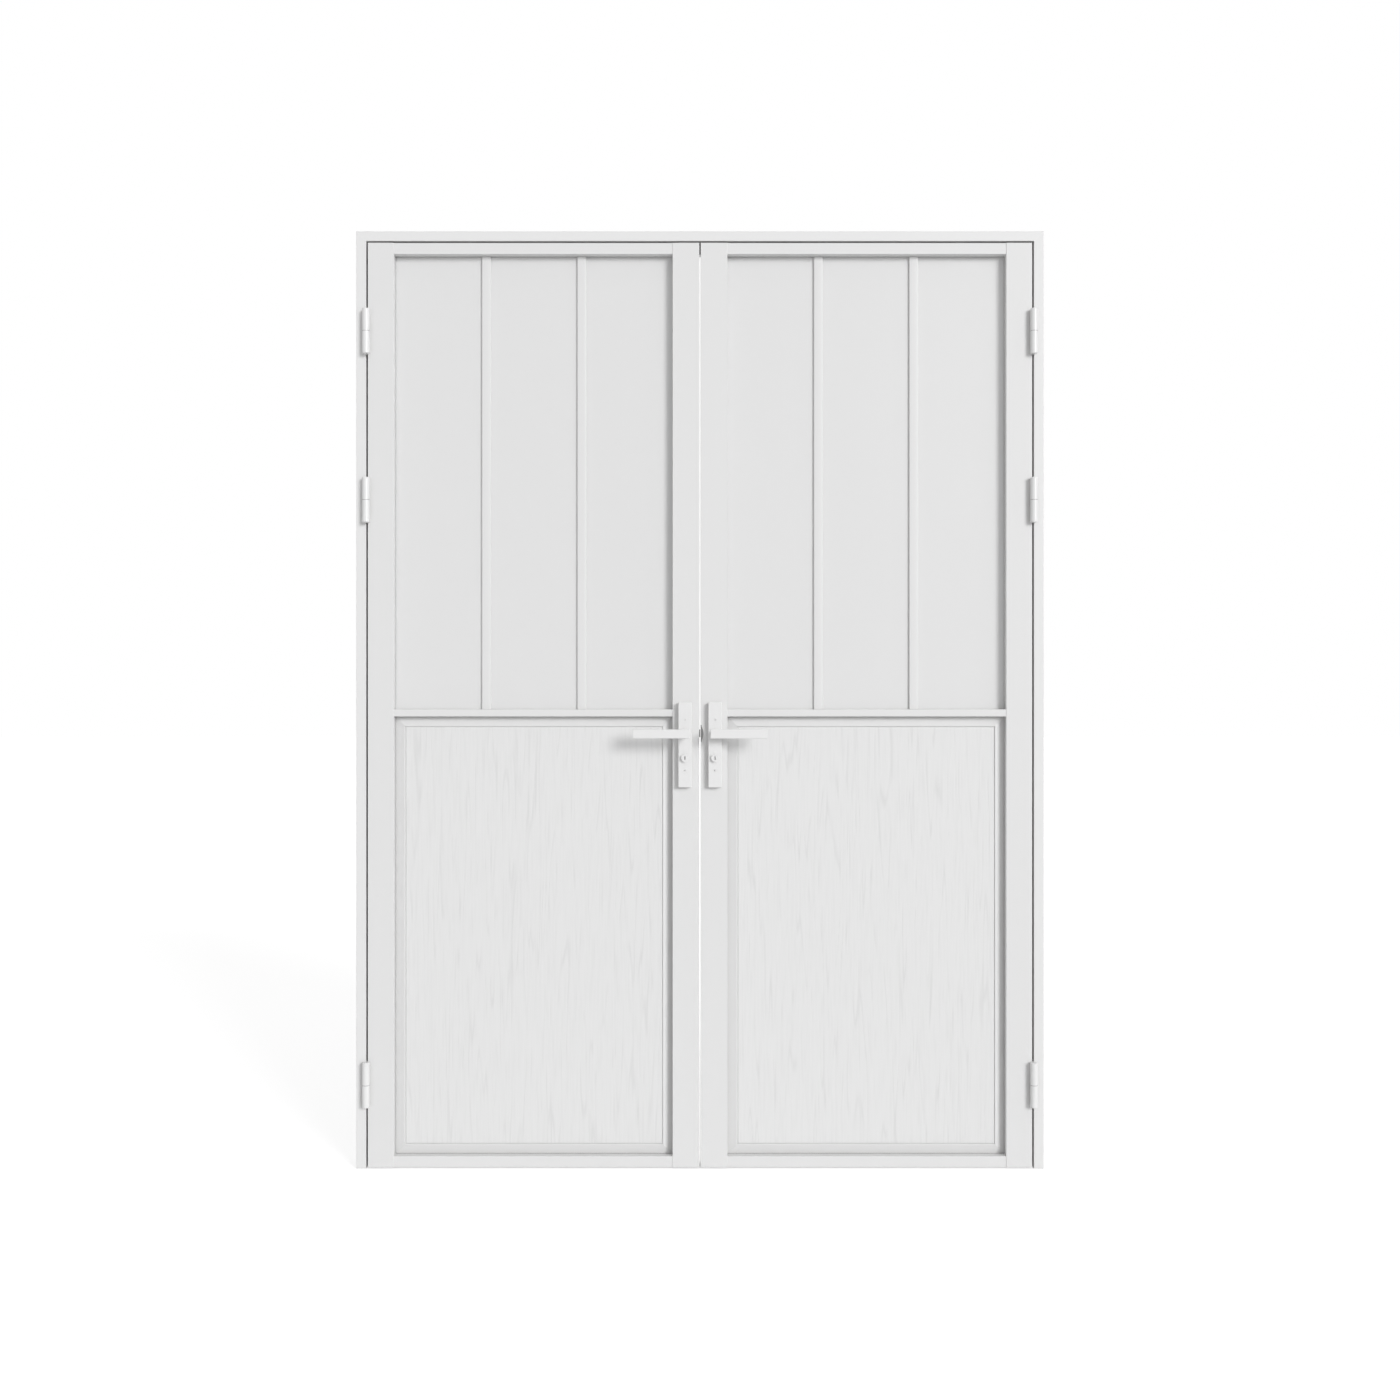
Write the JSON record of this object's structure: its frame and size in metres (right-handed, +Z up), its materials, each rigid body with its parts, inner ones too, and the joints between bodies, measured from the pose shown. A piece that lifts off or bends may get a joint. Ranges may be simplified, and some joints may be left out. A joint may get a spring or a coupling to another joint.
{
  "type": "prehung double door",
  "caption": "Two-leaf glazed door in its three-sided frame: tall lights with slim bars over grained lower panels, lift-off hinges, plate levers and bolts.",
  "frame": {"origin": "on the floor line under the middle of the doorway, in the middle of the leaves' thickness", "axes": "+X to the right seen from the front, -Y towards the front (the side the leaves open to), +Z up"},
  "size_m": [1.54, 0.17, 2.1],
  "materials": {
    "frame_paint": "satin powder coat, off-white",
    "leaf_paint": "satin powder coat, off-white",
    "hardware_paint": "smooth satin, white",
    "panel_board": "painted, open vertical grain",
    "glass": "clear",
    "aluminium": "mill",
    "seal_rubber": "matt grey",
    "cap_plastic": "matt",
    "steel": "zinc plated"
  },
  "bodies": {
    "frame": {"jamb_left": "frame_paint", "jamb_right": "frame_paint", "head": "frame_paint", "corner_cleats": "aluminium", "frame_seal": "seal_rubber", "hinge_frame_halves": "hardware_paint", "hinge_pins": "steel", "frame_screws": "steel", "head_keep": "steel"},
    "leaf_left": {"hinge_stile_left": "leaf_paint", "meeting_stile_left": "leaf_paint", "top_rail_left": "leaf_paint", "mid_rail_left": "leaf_paint", "bottom_rail_left": "leaf_paint", "stile_caps_left": "cap_plastic", "glass_panes_left": "glass", "glass_spacer_left": "aluminium", "glazing_gaskets_left": "seal_rubber", "glazing_bars_left": "leaf_paint", "rear_beads_left": "leaf_paint", "panel_left": "panel_board", "panel_beads_left": "leaf_paint", "hinge_leaf_halves_left": "hardware_paint", "leaf_screws_left": "steel", "front_plate_left": "hardware_paint", "back_plate_left": "hardware_paint", "cylinder_left": "hardware_paint", "lock_case": "steel"},
    "leaf_right": {"hinge_stile_right": "leaf_paint", "meeting_stile_right": "leaf_paint", "top_rail_right": "leaf_paint", "mid_rail_right": "leaf_paint", "bottom_rail_right": "leaf_paint", "stile_caps_right": "cap_plastic", "glass_panes_right": "glass", "glass_spacer_right": "aluminium", "glazing_gaskets_right": "seal_rubber", "glazing_bars_right": "leaf_paint", "rear_beads_right": "leaf_paint", "panel_right": "panel_board", "panel_beads_right": "leaf_paint", "hinge_leaf_halves_right": "hardware_paint", "leaf_screws_right": "steel", "front_plate_right": "hardware_paint", "back_plate_right": "hardware_paint", "cylinder_right": "hardware_paint", "bolt_gear_case": "steel", "strike_plate": "steel"},
    "levers_left": {"front_lever_left": "hardware_paint", "back_lever_left": "hardware_paint", "spindle_left": "steel"},
    "levers_right": {"front_lever_right": "hardware_paint", "back_lever_right": "hardware_paint", "spindle_right": "steel"},
    "turn_left": {"turn_left": "hardware_paint"},
    "turn_right": {"turn_right": "hardware_paint"},
    "latch": {"latch": "steel"},
    "deadbolt": {"deadbolt": "steel"},
    "top_bolt": {"top_bolt": "steel"},
    "bottom_bolt": {"bottom_bolt": "steel"}
  },
  "joints": [
    {"name": "leaf_left_swing", "type": "hinge", "parent": "frame", "child": "leaf_left", "pos_m": [-0.746, -0.0385, 0], "axis": [0, 0, 1], "range_deg": [-165, 0]},
    {"name": "leaf_right_swing", "type": "hinge", "parent": "frame", "child": "leaf_right", "pos_m": [0.746, -0.0385, 0], "axis": [0, 0, 1], "range_deg": [0, 165]},
    {"name": "lever_left_turn", "type": "hinge", "parent": "leaf_left", "child": "levers_left", "pos_m": [-0.0335, 0, 0.975], "axis": [0, 1, 0], "range_deg": [-40, 0], "stiffness_Nm_per_rad": 1, "springref_deg": 34.38},
    {"name": "lever_right_turn", "type": "hinge", "parent": "leaf_right", "child": "levers_right", "pos_m": [0.0335, 0, 0.975], "axis": [0, 1, 0], "range_deg": [-60, 0]},
    {"name": "turn_left_turn", "type": "hinge", "parent": "leaf_left", "child": "turn_left", "pos_m": [-0.0335, 0, 0.921], "axis": [0, 1, 0], "range_deg": [0, 90]},
    {"name": "turn_right_turn", "type": "hinge", "parent": "leaf_right", "child": "turn_right", "pos_m": [0.0335, 0, 0.921], "axis": [0, 1, 0], "range_deg": [0, 90]},
    {"name": "latch_slide", "type": "slide", "parent": "leaf_left", "child": "latch", "axis": [1, 0, 0], "range_m": [-0.0022, 0.009], "stiffness_N_per_m": 300},
    {"name": "deadbolt_slide", "type": "slide", "parent": "leaf_left", "child": "deadbolt", "axis": [1, 0, 0], "range_m": [0, 0.014]},
    {"name": "top_bolt_slide", "type": "slide", "parent": "leaf_right", "child": "top_bolt", "axis": [0, 0, 1], "range_m": [0, 0.012]},
    {"name": "bottom_bolt_slide", "type": "slide", "parent": "leaf_right", "child": "bottom_bolt", "axis": [0, 0, 1], "range_m": [-0.012, 0]}
  ],
  "couplings": [
    {"joint": "deadbolt_slide", "follows": "turn_left_turn", "m_per_rad": 0.0089},
    {"joint": "top_bolt_slide", "follows": "lever_right_turn", "m_per_rad": -0.01145},
    {"joint": "bottom_bolt_slide", "follows": "lever_right_turn", "m_per_rad": 0.01145}
  ]
}
